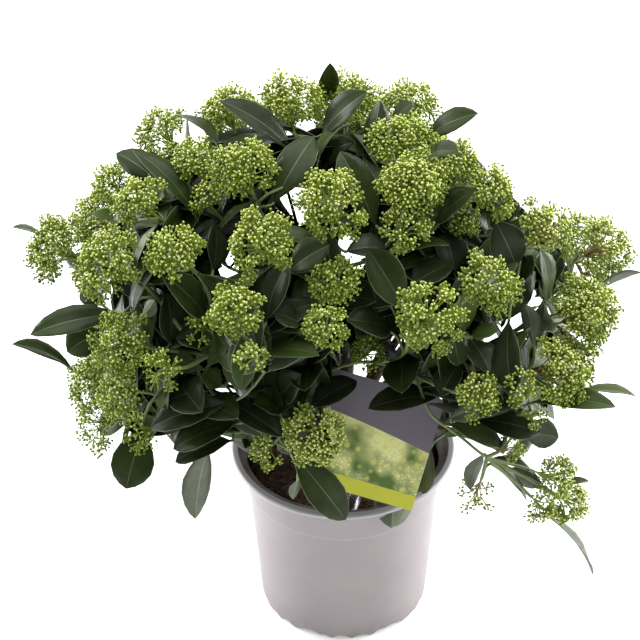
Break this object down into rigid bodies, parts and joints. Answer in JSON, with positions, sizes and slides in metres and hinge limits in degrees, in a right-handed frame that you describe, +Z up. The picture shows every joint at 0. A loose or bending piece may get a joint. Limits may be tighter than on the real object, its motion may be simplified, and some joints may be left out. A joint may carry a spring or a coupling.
{
  "type": "potted skimmia shrub",
  "caption": "Evergreen skimmia shrub in a round tapered growers' pot: a low dome of leathery dark leaves topped with clusters of green flower buds.",
  "frame": {"origin": "middle of the pot's flat underside", "axes": "+Z up along the pot's axis, -Y towards the front, where the label stands, +X to the right seen from the front"},
  "size_m": [0.4485, 0.3885, 0.439],
  "materials": {
    "pot_plastic": "smooth moulded, satin",
    "peat": "damp fibrous peat",
    "label_card": "printed card of thin plastic",
    "bark": "finely furrowed bark",
    "green_wood": "smooth young bark",
    "foliage": "leathery leaves with a soft sheen",
    "blossom": "waxy flower buds"
  },
  "bodies": {
    "root": {"bough_back_low_3": "green_wood", "bough_back_mid_2": "green_wood", "bough_back_mid_4": "green_wood", "bough_centre_top": "green_wood", "bough_far_left": "green_wood", "bough_far_left_low": "green_wood", "bough_far_right": "green_wood", "bough_front_left": "green_wood", "bough_left_low_inner": "green_wood", "bough_left_skirt": "green_wood", "bough_right_droop": "green_wood", "bough_right_high": "green_wood", "label": "label_card", "mass_back_high_1": "foliage", "mass_back_high_2": "foliage", "mass_back_high_3": "foliage", "mass_back_high_4": "foliage", "mass_back_low_1": "foliage", "mass_back_low_2": "foliage", "mass_back_low_3": "foliage", "mass_back_low_4": "foliage", "mass_back_low_5": "foliage", "mass_back_mid_1": "foliage", "mass_back_mid_2": "foliage", "mass_back_mid_3": "foliage", "mass_back_mid_4": "foliage", "mass_back_mid_5": "foliage", "mass_centre_left": "foliage", "mass_centre_right": "foliage", "mass_centre_top": "foliage", "mass_droop_inner": "foliage", "mass_far_left": "foliage", "mass_far_left_low": "foliage", "mass_far_right": "foliage", "mass_far_right_high": "foliage", "mass_front": "foliage", "mass_front_left": "foliage", "mass_front_low": "foliage", "mass_front_right": "foliage", "mass_inner_front": "foliage", "mass_left": "foliage", "mass_left_back": "foliage", "mass_left_high": "foliage", "mass_left_inner": "foliage", "mass_left_low": "foliage", "mass_left_low_front": "foliage", "mass_left_low_inner": "foliage", "mass_left_skirt": "foliage", "mass_right": "foliage", "mass_right_droop": "foliage", "mass_right_high": "foliage", "mass_right_low": "foliage", "mass_right_low_front": "foliage", "mass_top_back": "foliage", "mass_top_back_left": "foliage", "mass_top_right": "foliage", "mass_upper_left": "foliage", "pot": "pot_plastic", "soil": "peat", "stem": "bark"}
  },
  "joints": []
}
